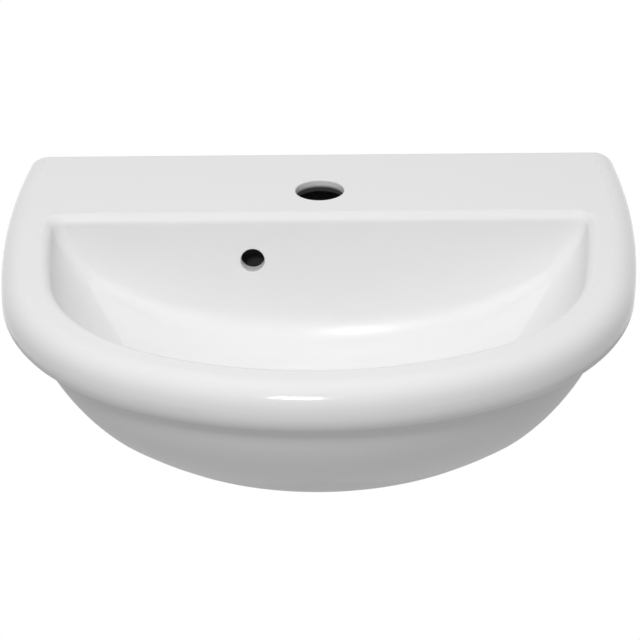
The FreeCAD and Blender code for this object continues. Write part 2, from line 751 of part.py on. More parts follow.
def glazed_edge(p, e):
    """The rims of the tap hole, the overflow hole and the waste's seat."""
    kind = e.Curve.TypeId
    tap = kind == "Part::GeomCircle" and near(p.z, deck) and near(
        e.Curve.Radius, S["tap_hole_radius"].value)
    across = math.hypot(p.x - over_x.value, p.z - over_z.value)
    overflow = kind != "Part::GeomLine" and near(across, S["overflow_radius"].value, 0.2) \
        and p.y < duct_front.value - 2
    drain = near(math.hypot(p.x, p.y - drain_y.value), S["drain_seat_radius"].value) \
        and p.z > seat.value + 1 and kind != "Part::GeomLine"
    return tap or overflow or drain


glaze = S["glaze_round"].value
basin = soften("basin", pierced, [
    (n, glaze, glaze) for n in edges_where(pierced.Shape, glazed_edge)])
basin.Label = "basin"


# ---------------------------------------------------------------- the waste
# The waste stands in the hole in the floor. Its flange sits on a rubber ring in the sunk seat,
# and a back nut below pulls it down against a rubber washer and a slip washer.
bore = S["waste_radius"] - S["waste_wall"]
flange_low = seat + S["flange_seal"]
flange_top = flange_low + S["waste_flange"]
nut_top = recess_top - S["lower_seal"] - S["slip_washer"]
nut_low = nut_top - S["back_nut"]
waste_low = nut_low - S["waste_tail"]
neck = S["drain_radius"] - S["waste_neck_gap"]
mouth = neck + S["waste_mouth"]
thread_top = seat - S["waste_thread_top"]
flange_edge = S["waste_flange_edge"]
spider_top = slot_low - S["spider_drop"]
spider_low = spider_top - S["spider_height"]
barrel = turned("waste_barrel", 0, drain_y, [
    (bore, waste_low), (S["waste_radius"], waste_low), (S["waste_radius"], thread_top),
    (neck, thread_top + S["waste_neck_taper"]), (neck, flange_low),
    (S["waste_flange_radius"], flange_low), (S["waste_flange_radius"], flange_top - flange_edge),
    (S["waste_flange_radius"] - flange_edge, flange_top), (mouth, flange_top),
    (bore, flange_top - (mouth - bore))])
slots = []
for k in range(4):
    slot = doc.addObject("Part::Box", "waste_slot_%d" % k)
    bind(slot, Length=S["waste_radius"] * 2, Width=S["slot_width"], Height=S["slot_height"])
    turn = Rotation(Vector(0, 0, 1), 90 * k + run_angle)
    side = turn.multVec(Vector(0, -S["slot_width"].value / 2, 0))
    slot.Placement = Placement(Vector(), turn)
    place(slot, side.x, drain_y + side.y, slot_low)
    slots.append(slot)
arms = []
for k in range(2):
    arm = doc.addObject("Part::Box", "waste_arm_%d" % k)
    bind(arm, Length=(bore + S["waste_wall"] / 2) * 2, Width=S["arm_width"],
         Height=S["spider_height"])
    turn = Rotation(Vector(0, 0, 1), 90 * k + run_angle + 45)
    reach = bore.value + S["waste_wall"].value / 2
    side = turn.multVec(Vector(-reach, -S["arm_width"].value / 2, 0))
    arm.Placement = Placement(Vector(), turn)
    place(arm, side.x, drain_y + side.y, spider_low)
    arms.append(arm)
hub = cylinder("waste_hub", 0, drain_y, spider_low, S["cartridge_radius"] + S["hub_wall"],
               S["spider_height"])
hub_bore = cylinder("waste_hub_bore", 0, drain_y, spider_low - OVER, S["cartridge_radius"],
                    S["spider_height"] + OVER * 2)
waste_body = cut("waste_body", fuse("waste_with_spider", barrel, hub, *arms),
                 fuse("waste_openings", hub_bore, *slots))

waste_flange_seal = turned("waste_flange_seal", 0, drain_y, tube(
    S["drain_radius"] + S["seal_margin"], S["waste_flange_radius"] - S["seal_margin"],
    seat, flange_low))
nut_bore = S["waste_radius"] + S["running_gap"]
waste_underside_washer = turned("waste_underside_washer", 0, drain_y, tube(
    nut_bore, S["nut_recess_radius"] - S["washer_margin"], recess_top - S["lower_seal"], recess_top))
waste_slip_washer = turned("waste_slip_washer", 0, drain_y, tube(
    nut_bore, S["nut_recess_radius"] - S["washer_margin"] - S["seal_margin"],
    nut_top, nut_top + S["slip_washer"]))


NUT_BEVEL = 0.97  # radius of a nut's bevelled face, in half distances across its flats


def hex_nut(name, x, y, z, across, height, hole, along_wall=False):
    """A hexagon nut whose corners are turned off at both ends."""
    hexagon = doc.addObject("Part::Prism", name + "_hexagon")
    hexagon.Polygon = 6
    bind(hexagon, Circumradius=across / math.sqrt(3), Height=height)
    inner_radius = across / 2 * NUT_BEVEL
    cone_radius = inner_radius + height / 2
    blank = doc.addObject("Part::Cone", name + "_cone")
    bind(blank, Radius1=inner_radius, Radius2=cone_radius, Height=height / 2)
    upper = doc.addObject("Part::Cone", name + "_cone_top")
    bind(upper, Radius1=cone_radius, Radius2=inner_radius, Height=height / 2)
    centre = doc.addObject("Part::Cylinder", name + "_bore")
    bind(centre, Radius=hole, Height=height + OVER * 2)
    turn = Rotation(Vector(1, 0, 0), -90) if along_wall else Rotation()
    for thing, rise in ((hexagon, ZERO), (blank, ZERO), (upper, height / 2), (centre, -OVER)):
        thing.Placement = Placement(Vector(), turn)
        place(thing, x, y + rise if along_wall else y, z if along_wall else z + rise)
    turned_off = common(name + "_blank", hexagon, fuse(name + "_cones", blank, upper))
    return cut(name, turned_off, centre)


waste_back_nut = hex_nut("waste_back_nut", 0, drain_y, nut_low, S["back_nut_across"],
                         S["back_nut"], nut_bore)

# ---------------------------------------------------------------- the plug and its click cartridge
# The cartridge stands in the waste's hub. Its spring holds the plunger up against the cap nut
# when the plug is open; a push latches it down, with the plug over the waste's mouth.
plug_low = flange_top + S["seat_gap"]
core_low = plug_low - S["plug_core"]
rod_top = core_low + S["plug_core"] / 2
cap_nut_top = core_low - S["cap_nut_gap"]
cap_nut_low = cap_nut_top - S["cartridge_cap"]
cartridge_low = cap_nut_top - S["cartridge_length"]
spring_seat = cartridge_low + S["cartridge_floor"]
head_top = cap_nut_low - S["plug_travel"] - S["seat_gap"]
head_low = head_top - S["plunger_head_height"]
slide_bore = S["plunger_head"] + S["running_gap"]
click_cartridge = turned("click_cartridge", 0, drain_y, [
    (0, cartridge_low), (S["cartridge_radius"], cartridge_low),
    (S["cartridge_radius"], cap_nut_low), (slide_bore, cap_nut_low),
    (slide_bore, spring_seat), (0, spring_seat)])
cartridge_cap = turned("cartridge_cap", 0, drain_y, [
    (S["plunger_rod"] + S["running_gap"], cap_nut_low),
    (S["cartridge_radius"], cap_nut_low),
    (S["cartridge_radius"], cap_nut_top - S["cap_nut_edge"]),
    (S["cartridge_radius"] - S["cap_nut_edge"], cap_nut_top),
    (S["plunger_rod"] + S["running_gap"], cap_nut_top)])
plunger = turned("plunger", 0, drain_y, [
    (0, head_low), (S["plunger_head"], head_low), (S["plunger_head"], head_top),
    (S["plunger_rod"], head_top), (S["plunger_rod"], rod_top), (0, rod_top)])
groove_low = core_low + S["groove_up"]
groove_top = groove_low + S["plug_seal_height"]
groove_radius = S["plug_core_radius"] - S["groove_depth"]
plug_core = turned("plug_core", 0, drain_y, [
    (S["plunger_rod"], core_low), (S["plug_core_radius"] - S["core_edge"], core_low),
    (S["plug_core_radius"], core_low + S["core_edge"]), (S["plug_core_radius"], groove_low),
    (groove_radius, groove_low), (groove_radius, groove_top),
    (S["plug_core_radius"], groove_top), (S["plug_core_radius"], plug_low),
    (0, plug_low), (0, rod_top), (S["plunger_rod"], rod_top)])
plug_seal = turned("plug_seal", 0, drain_y, tube(
    groove_radius, S["plug_core_radius"] + S["plug_seal_out"], groove_low, groove_top))

cap_body = new_body("plug_cap")
cap_edge = plug_low + S["plug_cap_edge"]
cap_top = cap_edge + S["plug_cap_dome"]
cap_sketch = new_sketch(cap_body, "plug_cap_outline", "XZ_Plane")
cap_corners = [Vector(0, plug_low.value, 0),
               Vector(S["plug_cap_radius"].value, plug_low.value, 0),
               Vector(S["plug_cap_radius"].value, cap_edge.value, 0), Vector(0, cap_top.value, 0)]
dome_radius = (S["plug_cap_radius"] ** 2 + S["plug_cap_dome"] ** 2) / (S["plug_cap_dome"] * 2)
dome_centre = cap_top - dome_radius
rim_angle = math.asin(S["plug_cap_radius"].value / dome_radius.value)
for a, b in ((0, 1), (1, 2)):
    cap_sketch.addGeometry(Part.LineSegment(cap_corners[a], cap_corners[b]))
cap_sketch.addGeometry(Part.ArcOfCircle(
    Part.Circle(Vector(0, dome_centre.value, 0), Vector(0, 0, 1), dome_radius.value),
    math.pi / 2 - rim_angle, math.pi / 2))
cap_sketch.addGeometry(Part.LineSegment(cap_corners[3], cap_corners[0]))
limit(cap_sketch, "Coincident", 0, END, 1, START)
limit(cap_sketch, "Coincident", 1, END, 2, START)
limit(cap_sketch, "Coincident", 2, END, 3, START)
limit(cap_sketch, "Coincident", 3, END, 0, START)
for corner, (x, y) in ((0, (ZERO, plug_low)), (1, (S["plug_cap_radius"], plug_low))):
    pin_point(cap_sketch, corner, START, x, y)
limit(cap_sketch, "Vertical", 1)
limit(cap_sketch, "DistanceY", 1, START, 1, END, S["plug_cap_edge"])
limit(cap_sketch, "PointOnObject", 3, START, V_AXIS)
limit(cap_sketch, "PointOnObject", 2, CENTRE, V_AXIS)
limit(cap_sketch, "Radius", 2, dome_radius)
cap_turn = cap_body.newObject("PartDesign::Revolution", "plug_cap_turn")
cap_turn.Profile = cap_sketch
cap_turn.ReferenceAxis = (cap_sketch, ["V_Axis"])
cap_turn.Angle = 360
place(cap_body, y=drain_y)

# a round-wire spring between the cartridge's floor and the plunger's head
spring_radius = S["plunger_head"] - S["spring_wire"] - S["spring_gap"]
spring_room = head_low - spring_seat - S["spring_wire"]
helix = doc.addObject("Part::Helix", "spring_path")
bind(helix, Radius=spring_radius, Pitch=spring_room / S["spring_turns"], Height=spring_room)
wire_ring = doc.addObject("Part::Circle", "spring_section")
bind(wire_ring, Radius=S["spring_wire"] / 2)
wire_ring.Placement = Placement(Vector(spring_radius.value, 0, 0), Rotation(Vector(1, 0, 0), 90))
latch_spring = doc.addObject("Part::Sweep", "latch_spring")
latch_spring.Sections = [wire_ring]
doc.recompute()
latch_spring.Spine = (helix, ["Edge%d" % n for n in range(1, len(helix.Shape.Edges) + 1)])
latch_spring.Solid = True
latch_spring.Frenet = True
place(latch_spring, 0, drain_y, spring_seat + S["spring_wire"] / 2)

# ---------------------------------------------------------------- the wall fixings
# Each fixing is a plug in the wall, a hanger bolt, and in front of the china's plate a nylon
# sleeve, a washer and a nut.
thread_bore = S["thread_radius"] + S["running_gap"]
sleeve_low = wall_plate - S["sleeve_flange"]
washer_low = sleeve_low - S["washer_thickness"]
nut_front = washer_low - S["nut_thickness"]
screw_radius = S["thread_radius"] - S["thread_depth"]
washer_bore = thread_bore + S["washer_gap"]
sleeve_radius = S["fixing_hole_radius"] - S["sleeve_gap"]
sleeve_end = -S["sleeve_short"]
bolt_front = -S["bolt_reach"]
plug_shoulder = S["plug_length"] - S["plug_nose"]
plug_end = S["plug_radius"] - S["plug_nose"]
bolt_tip = S["bolt_bevel"]
fixings = []
for side, sign in (("left", -1), ("right", 1)):
    x = fixing_x * sign
    fixings.append(bar("wall_plug_" + side, x, 0, [
        (screw_radius, 0), (S["plug_radius"], 0), (S["plug_radius"], plug_shoulder),
        (plug_end, S["plug_length"]), (0, S["plug_length"]),
        (0, S["bolt_bury"]), (screw_radius, S["bolt_bury"])]))
    fixings.append(bar("hanger_bolt_" + side, x, 0, [
        (0, bolt_front), (S["thread_radius"] - S["bolt_bevel"], bolt_front),
        (S["thread_radius"], bolt_front + S["bolt_bevel"]), (S["thread_radius"], 0),
        (screw_radius, 0), (screw_radius, S["bolt_bury"] - S["bolt_point"]),
        (bolt_tip, S["bolt_bury"]), (0, S["bolt_bury"])]))
    fixings.append(bar("fixing_sleeve_" + side, x, 0, [
        (thread_bore, sleeve_low), (S["sleeve_flange_radius"], sleeve_low),
        (S["sleeve_flange_radius"], wall_plate),
        (sleeve_radius, wall_plate), (sleeve_radius, sleeve_end), (thread_bore, sleeve_end)]))
    fixings.append(bar("fixing_washer_" + side, x, 0, [
        (washer_bore, washer_low), (S["washer_radius"], washer_low),
        (S["washer_radius"], sleeve_low), (washer_bore, sleeve_low)]))
    fixings.append(hex_nut("fixing_nut_" + side, x, nut_front, ZERO, S["nut_across"],
                           S["nut_thickness"], thread_bore, along_wall=True))

# ---------------------------------------------------------------- checks and export
pieces = [basin, waste_body, waste_flange_seal, waste_underside_washer, waste_slip_washer,
          waste_back_nut, click_cartridge, cartridge_cap, latch_spring, plunger, plug_core,
          plug_seal, cap_body] + fixings
doc.recompute()
for thing in doc.Objects:
    if "Invalid" in thing.State or "Error" in thing.State:
        raise RuntimeError("%s did not rebuild" % thing.Label)
for piece in pieces:
    if piece.Shape.isNull() or not piece.Shape.isValid() or len(piece.Shape.Solids) != 1:
        raise RuntimeError("%s is not one valid solid" % piece.Label)
for piece in pieces:
    piece.Shape.exportStep("parts/%s.step" % piece.Label)
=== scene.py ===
# %% [markdown]
# # A wall hung basin in white glazed china
# The packed model gives every piece its true shape and place. This lesson dresses those pieces: it gives
# the china its glaze, the waste its chrome and the hidden fixings their metals and plastics, adds a thread
# and some barbs, and then sets up a floor, a soft studio light and the camera.

# %% Load the packed model
import bpy
import bmesh
import json
import math
from mathutils import Matrix, Vector


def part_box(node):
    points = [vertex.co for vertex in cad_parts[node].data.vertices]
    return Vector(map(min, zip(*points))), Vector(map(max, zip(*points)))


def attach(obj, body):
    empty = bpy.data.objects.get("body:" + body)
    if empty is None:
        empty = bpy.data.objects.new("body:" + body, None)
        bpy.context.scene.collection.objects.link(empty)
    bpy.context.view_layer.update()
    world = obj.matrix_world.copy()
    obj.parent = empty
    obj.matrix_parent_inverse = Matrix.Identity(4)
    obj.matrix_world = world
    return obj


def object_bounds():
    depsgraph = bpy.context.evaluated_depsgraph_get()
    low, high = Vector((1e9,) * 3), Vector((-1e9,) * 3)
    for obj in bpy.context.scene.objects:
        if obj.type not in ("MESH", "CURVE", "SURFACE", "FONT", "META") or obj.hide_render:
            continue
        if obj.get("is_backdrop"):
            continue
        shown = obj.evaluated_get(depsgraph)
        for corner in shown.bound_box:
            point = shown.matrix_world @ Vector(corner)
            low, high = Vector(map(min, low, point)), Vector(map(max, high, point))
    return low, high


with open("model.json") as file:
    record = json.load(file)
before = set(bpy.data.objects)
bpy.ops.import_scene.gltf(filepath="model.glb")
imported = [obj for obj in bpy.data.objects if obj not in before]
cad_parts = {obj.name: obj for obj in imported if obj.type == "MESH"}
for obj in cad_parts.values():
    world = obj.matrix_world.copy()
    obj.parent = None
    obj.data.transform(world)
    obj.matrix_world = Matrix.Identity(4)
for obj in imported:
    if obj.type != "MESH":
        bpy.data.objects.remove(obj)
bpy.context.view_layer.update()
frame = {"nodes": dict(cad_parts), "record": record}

# %% [markdown]
# ## Writing shader maths as plain expressions
# A finish is a small calculation that runs at each point of a surface. Its nodes could be placed by hand,
# but an expression such as `0.1 + speckle * 0.05` is easier to read, so a small class turns Python
# operators into Math nodes.


# %% A wrapper for the sockets of a shader
class Value:
    """A socket of a shader tree that can be added, multiplied and compared."""

    def __init__(self, tree, socket):
        self.tree = tree
        self.socket = socket

    def math(self, operation, *others):
        node = self.tree.nodes.new("ShaderNodeMath")
        node.operation = operation
        for spot, other in zip(node.inputs, (self,) + others):
            if isinstance(other, Value):
                self.tree.links.new(other.socket, spot)
            else:
                spot.default_value = other
        return Value(self.tree, node.outputs[0])

    def __add__(self, other):
        return self.math("ADD", other)

    def __mul__(self, other):
        return self.math("MULTIPLY", other)

    def __sub__(self, other):
        return self.math("SUBTRACT", other)

    def __rsub__(self, other):
        return (self * -1) + other

    def __pow__(self, other):
        return self.math("POWER", other)

    def __gt__(self, other):
        return self.math("GREATER_THAN", other)

    def __lt__(self, other):
        return self.math("LESS_THAN", other)

    __radd__ = __add__
    __rmul__ = __mul__

    def clamped(self):
        """The value held between 0 and 1."""
        held = self.math("MULTIPLY", 1.0)
        held.socket.node.use_clamp = True
        return held

    def between(self, low, high):
        """1 where the value lies between two limits, 0 elsewhere."""
        return (self > low) * (self < high)

    def either(self, other):
        """The larger of two masks."""
        return self.math("MAXIMUM", other)


print("operators:", [name for name in vars(Value) if name.startswith("__")])

# %% [markdown]
# ## A finish and its nodes
# Every finish here is one Principled shader. What differs is what feeds it: cloudy noise for the colour, a
# finer noise for how rough it is, and a fine relief. One class holds the shader, and its methods add those.


# %% A wrapper for a material
class Finish:
    """A material with its Principled shader and one method that adds any other node."""

    def __init__(self, name, **constants):
        self.material = bpy.data.materials.new(name)
        self.material.use_nodes = True
        self.tree = self.material.node_tree
        self.shader = self.tree.nodes["Principled BSDF"]
        for socket, value in constants.items():
            self.shader.inputs[socket.replace("_", " ")].default_value = value

    def node(self, kind, settings=None, out=0, **sockets):
        """Adds a node: settings first, then the values or links of its sockets."""
        node = self.tree.nodes.new("ShaderNode" + kind)
        for name, value in (settings or {}).items():
            setattr(node, name, value)
        for name, value in sockets.items():
            spot = node.inputs[int(name[1:])] if name[1:].isdigit() else \
                node.inputs[name.replace("_", " ")]
            if isinstance(value, Value):
                self.tree.links.new(value.socket, spot)
            else:
                spot.default_value = value
        return Value(self.tree, node.outputs[out])

    def feed(self, **sockets):
        """Links values into the shader's sockets."""
        for name, value in sockets.items():
            self.tree.links.new(value.socket, self.shader.inputs[name.replace("_", " ")])

    def place(self):
        """The point of the surface, in metres, in the object's own frame."""
        return self.node("TexCoord", out=3)

    def facing(self):
        """The direction that the surface faces."""
        return self.node("TexCoord", out=1)

    def axes(self, vector):
        """The x, y and z of a point or a direction as three values."""
        split = self.node("SeparateXYZ", Vector=vector).socket.node
        return [Value(self.tree, s) for s in split.outputs]

    def speckle(self, point, scale, detail=3.0):
        """Noise whose spots are about 1/scale metres across."""
        return self.node("TexNoise", Vector=point, Scale=scale, Detail=detail, Roughness=0.5)

    def mix(self, factor, first, second):
        """One colour where factor is 0, another where it is 1."""
        return self.node("Mix", {"data_type": "RGBA"}, out=2, Factor=factor, _6=first, _7=second)

    def bump(self, height, distance, strength):
        """Turns a height from 0 to 1 into a normal; distance is the full height in metres."""
        return self.node("Bump", Height=height, Distance=distance, Strength=strength)


def colour(red, green, blue):
    return (red, green, blue, 1.0)


print("a colour has", len(colour(1, 1, 1)), "numbers: red, green, blue and how solid it is")

# %% [markdown]
# ## Where the china has no glaze
# Sanitary ware is cast in clay, sprayed with a white opaque glaze and fired. The face against the wall is
# left bare, because glaze would stick to the kiln shelf. The inside of the casting and of the overflow is
# raw, and so is the lower part of the tap hole here. Real raw clay is pale and only unlit in there, so the
# near-black colour that it gets here is painted shade, which makes both holes look as dark as in the
# photograph. The overflow's box also reaches the outer underside, where it paints a dark patch of shade.
# One material could be made for each of these, but the china is one piece, so masks of place keep them
# apart.

# %% Bare and raw china, with painted shade in its hollows
glaze = Finish("glazed_china", IOR=1.5, Coat_Roughness=0.03, Coat_IOR=1.5)
point = glaze.place()
x, y, z = glaze.axes(point)
WALL_FACE = -0.0006
bare = y > WALL_FACE
CAST_HALF, CAST_FRONT, CAST_BACK = 0.118, -0.0905, -0.0135
CAST_LOW, CAST_HIGH, CAST_FADE = -0.0845, 0.0612, 0.0024
under_deck = ((CAST_HIGH - z) * (1 / CAST_FADE)).clamped()
casting = x.between(-CAST_HALF, CAST_HALF) * y.between(CAST_FRONT, CAST_BACK) * \
    (z > CAST_LOW) * under_deck
OVERFLOW_X, DUCT_HALF = -0.048, 0.0092
DUCT_FRONT, DUCT_BACK, DUCT_TOP = -0.1002, -0.08, 0.045
duct = x.between(OVERFLOW_X - DUCT_HALF, OVERFLOW_X + DUCT_HALF) * \
    y.between(DUCT_FRONT, DUCT_BACK) * (z < DUCT_TOP)
# This mask gives raw clay its roughness and also marks where near-black painted shade fills the hollows.
raw_and_painted_shade = casting.either(duct)
unglazed = bare.either(raw_and_painted_shade)
print("nodes for bare and raw china:", len(glaze.tree.nodes))

# %% [markdown]
# ## Where the glaze is softer
# Glaze is a glassy skin, but one gloss all over didn't look like the photograph. A glossy underside mirrors
# the white floor and fades into it, so faces that look down are satin. The bowl is softer too, so that its
# reflections spread into one broad light band, with a glossier spot where the lamp shows. Faces of the bowl
# look towards its middle, so the way that a face looks tells the bowl from the rim, and its height tells
# the bowl's floor from the deck.

# %% Satin underside and soft bowl
face_x, face_y, face_z = glaze.axes(glaze.facing())
SATIN_GAIN = 4.0
satin = (face_z * -SATIN_GAIN).clamped()
BOWL_MIDDLE_Y, BOWL_FLOOR_TOP = -0.25, 0.045
INWARD_START, INWARD_GAIN = 0.004, 18.0
inward = (x * face_x + (y - BOWL_MIDDLE_Y) * face_y) * -1
bowl_wall = ((inward - INWARD_START) * INWARD_GAIN).clamped()
bowl_floor = (z < BOWL_FLOOR_TOP) * (face_z > 0.0)
bowl = bowl_wall.either(bowl_floor)
GLOSSY_SPOT, GLOSSY_SIZE, GLOSSY_SHARE = (0.028, -0.120, -0.024), 0.034, 0.5
away = sum((side - centre) * (side - centre) for side, centre in zip((x, y, z), GLOSSY_SPOT))
glossy = (away * (-1 / GLOSSY_SIZE ** 2)).math("EXPONENT")
soft = bowl * (1.0 - glossy * GLOSSY_SHARE)
print("nodes with satin and soft glaze:", len(glaze.tree.nodes))

# %% [markdown]
# ## The china's colours and surface
# The glaze's white varies a little from place to place, and its surface never lies perfectly flat, so
# reflections wander. A slow noise gives both. Where the clay is bare or raw a fine grain takes over; where
# it is raw, that grain is near black, painted shade for hollows that little light reaches.

# %% Colours and surface of the china
tint = glaze.mix(glaze.speckle(point, scale=9.0, detail=2.0), colour(0.838, 0.840, 0.838),
                 colour(0.850, 0.852, 0.848))
grain = glaze.speckle(point, scale=420.0, detail=4.0)
clay = glaze.mix(grain, colour(0.66, 0.63, 0.57), colour(0.76, 0.74, 0.69))
# Near-black painted shade for the raw hollows: the clay itself is pale, and only little light gets in
# there.
painted_hollow_shade = glaze.mix(grain, colour(0.035, 0.034, 0.033), colour(0.07, 0.068, 0.065))
waves = glaze.speckle(point, scale=28.0, detail=2.0)
POLISH, CLOUD, BOWL_SOFTNESS, SATIN_SOFTNESS, CLAY_ROUGHNESS = 0.08, 0.05, 0.42, 0.5, 0.5
COAT, GRAIN_SHARE, RELIEF = 0.15, 0.4, 0.00010
# The colour is painted shade where the clay is raw, pale clay where it is bare, and the glaze's white
# elsewhere.
glaze.feed(
    Base_Color=glaze.mix(raw_and_painted_shade, glaze.mix(bare, tint, clay), painted_hollow_shade),
    Roughness=POLISH + glaze.speckle(point, scale=60.0) * CLOUD + soft * BOWL_SOFTNESS
    + satin * SATIN_SOFTNESS + unglazed * CLAY_ROUGHNESS,
    Coat_Weight=(1.0 - unglazed) * (1.0 - satin) * (1.0 - bowl) * COAT,
    Normal=glaze.bump(waves * (1.0 - unglazed) + grain * unglazed * GRAIN_SHARE,
                      distance=RELIEF, strength=0.5))
print("glaze nodes:", len(glaze.tree.nodes))

# %% [markdown]
# ## Metals
# The waste and the plug are brass with a chrome skin. The cartridge is bare turned brass, and the bolts,
# nuts and washers are zinc plated. Turned pieces show fine rings round the waste's axis. They could be cut
# into the mesh, but at half a millimetre a wave of the distance from that axis does it with less.

# %% Lathe rings round the waste's axis
WASTE_Y = -0.186
RING_CLIMB = 0.7


def rings(finish, vector, spacing):
    """Fine rings round the waste's axis, from 0 to 1; they climb a little, as a tool leaves them."""
    px, py, pz = finish.axes(vector)
    away = (px * px + (py - WASTE_Y) * (py - WASTE_Y)) ** 0.5
    turn = 2 * math.pi / spacing
    return (away + pz * RING_CLIMB).math("MULTIPLY", turn).math("SINE") * 0.5 + 0.5


print("the waste's axis stands", -WASTE_Y, "m from the wall")

# %% Chrome
chrome = Finish("chrome_plate", Base_Color=colour(0.78, 0.785, 0.79), Metallic=1.0)
point = chrome.place()
chrome.feed(Roughness=0.06 + chrome.speckle(point, scale=90.0, detail=4.0) * 0.08,
            Normal=chrome.bump(rings(chrome, point, spacing=0.0006), distance=0.000006, strength=0.4))
print("chrome nodes:", len(chrome.tree.nodes))

# %% Turned brass
brass = Finish("turned_brass", Metallic=1.0)
point = brass.place()
brass.feed(
    Base_Color=brass.mix(brass.speckle(point, scale=140.0), colour(0.60, 0.45, 0.20),
                         colour(0.72, 0.56, 0.28)),
    Roughness=0.24 + brass.speckle(point, scale=300.0) * 0.14,
    Normal=brass.bump(rings(brass, point, spacing=0.0005), distance=0.00001, strength=0.5))
print("brass nodes:", len(brass.tree.nodes))

# %% Zinc plate
zinc = Finish("zinc_plate", Metallic=1.0)
point = zinc.place()
flake = zinc.node("TexVoronoi", Vector=point, Scale=900.0)
zinc.feed(
    Base_Color=zinc.mix(flake, colour(0.55, 0.57, 0.60), colour(0.70, 0.71, 0.72)),
    Roughness=0.30 + zinc.speckle(point, scale=500.0) * 0.18,
    Normal=zinc.bump(zinc.speckle(point, scale=1500.0), distance=0.00002, strength=0.4))
print("zinc nodes:", len(zinc.tree.nodes))

# %% Spring steel
wire = Finish("spring_steel", Base_Color=colour(0.50, 0.51, 0.53), Metallic=1.0)
point = wire.place()
wire.feed(Roughness=0.22 + wire.speckle(point, scale=800.0) * 0.16,
          Normal=wire.bump(wire.speckle(point, scale=2500.0), distance=0.00001, strength=0.3))
print("wire nodes:", len(wire.tree.nodes))

# %% [markdown]
# ## Rubber, nylon and moulded plastic
# These three differ in how far light gets into them. Black rubber drinks it up and has a dusty skin, nylon
# is milky, and the grey moulding has the fine texture of its mould.

# %% Rubber
rubber = Finish("black_rubber", Specular_IOR_Level=0.35)
point = rubber.place()
rubber.feed(
    Base_Color=rubber.mix(rubber.speckle(point, scale=260.0), colour(0.012, 0.012, 0.013),
                          colour(0.035, 0.034, 0.033)),
    Roughness=0.62 + rubber.speckle(point, scale=700.0) * 0.2,
    Normal=rubber.bump(rubber.speckle(point, scale=1800.0, detail=4.0), distance=0.00004, strength=0.6))
print("rubber nodes:", len(rubber.tree.nodes))

# %% Nylon
nylon = Finish("natural_nylon")
point = nylon.place()
nylon.feed(
    Base_Color=nylon.mix(nylon.speckle(point, scale=120.0), colour(0.70, 0.69, 0.65),
                         colour(0.78, 0.77, 0.74)),
    Roughness=0.38 + nylon.speckle(point, scale=600.0) * 0.14,
    Normal=nylon.bump(nylon.speckle(point, scale=1400.0), distance=0.00002, strength=0.4))
print("nylon nodes:", len(nylon.tree.nodes))

# %% Moulded plastic
plastic = Finish("grey_moulding")
point = plastic.place()
plastic.feed(
    Base_Color=plastic.mix(plastic.speckle(point, scale=200.0), colour(0.16, 0.165, 0.17),
                           colour(0.20, 0.205, 0.21)),
    Roughness=0.44 + plastic.speckle(point, scale=900.0) * 0.16,
    Normal=plastic.bump(plastic.speckle(point, scale=2200.0), distance=0.00003, strength=0.5))
print("plastic nodes:", len(plastic.tree.nodes))

# %% Give every piece its finish
FINISHES = {"china": glaze, "chrome": chrome, "brass": brass, "zinc_steel": zinc,
            "spring_steel": wire, "rubber": rubber, "nylon": nylon, "grey_plastic": plastic}
slot_of = {s["node"]: s["material_slot"] for s in frame["record"]["subparts"]}
for name, piece in frame["nodes"].items():
    piece.data.materials.clear()
    piece.data.materials.append(FINISHES[slot_of[name]].material)
print("dressed:", len(slot_of))

# %% [markdown]
# ## The thread on the waste's tail
# The trap screws onto the tail below the back nut, so the real tail has a fine right-hand thread there.
# A bump could suggest it, but its outline would stay straight. A small triangle that climbs a little at
# each step as it is spun round the axis leaves a true helical ridge, which is what a thread is.

# %% Turn a bmesh into a piece
MM = 0.001
MERGE_WITHIN = 0.002 * MM


def solid(name, shape, body, slot):
    """Closes a bmesh and makes it a piece that rides on a body and wears a slot's finish."""
    bmesh.ops.remove_doubles(shape, verts=shape.verts, dist=MERGE_WITHIN)
    open_edges = [e for e in shape.edges if e.is_boundary]
    if open_edges:
        bmesh.ops.holes_fill(shape, edges=open_edges, sides=8)
    bmesh.ops.recalc_face_normals(shape, faces=shape.faces)
    mesh = bpy.data.meshes.new(name)
    shape.to_mesh(mesh)
    print(name, "faces:", len(shape.faces), "open edges:", sum(e.is_boundary for e in shape.edges))
    shape.free()
    mesh.shade_smooth()
    piece = bpy.data.objects.new(name, mesh)
    bpy.context.collection.objects.link(piece)
    mesh.materials.append(FINISHES[slot].material)
    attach(piece, body)


# %% A helical ridge
tail_low, tail_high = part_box("waste_body")[0].z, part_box("waste_back_nut")[0].z
TAIL_RADIUS, THREAD_RISE, THREAD_SINK = 20.95 * MM, 0.35 * MM, 0.2 * MM
THREAD_PITCH, THREAD_END = 2.31 * MM, 1.6 * MM
RIDGE_SHARE, STEPS_A_TURN = 0.36, 48
climb = tail_high - tail_low - 2 * THREAD_END
turns = climb / THREAD_PITCH
steps = round(STEPS_A_TURN * turns)
half = THREAD_PITCH * RIDGE_SHARE
start = tail_low + THREAD_END
ridge = bmesh.new()
corners = [ridge.verts.new((TAIL_RADIUS + out, 0, start + up))
           for out, up in ((-THREAD_SINK, -half), (THREAD_RISE, 0), (-THREAD_SINK, half))]
ridge.faces.new(corners)
bmesh.ops.spin(ridge, geom=ridge.verts[:] + ridge.edges[:] + ridge.faces[:], axis=(0, 0, 1),
               cent=(0, 0, 0), dvec=(0, 0, climb / steps), angle=2 * math.pi * turns, steps=steps)
bmesh.ops.translate(ridge, verts=ridge.verts, vec=(0, WASTE_Y, 0))
solid("waste_tail_thread", ridge, "fixed", "chrome")
print("thread turns:", round(turns, 2))

# %% [markdown]
# ## Barbs on the wall plugs
# A wall plug is moulded with shallow barbs that bite into the masonry. Each is a ring with a saw-tooth
# section, so one tooth is spun once round the plug's axis and the rings are repeated along it.

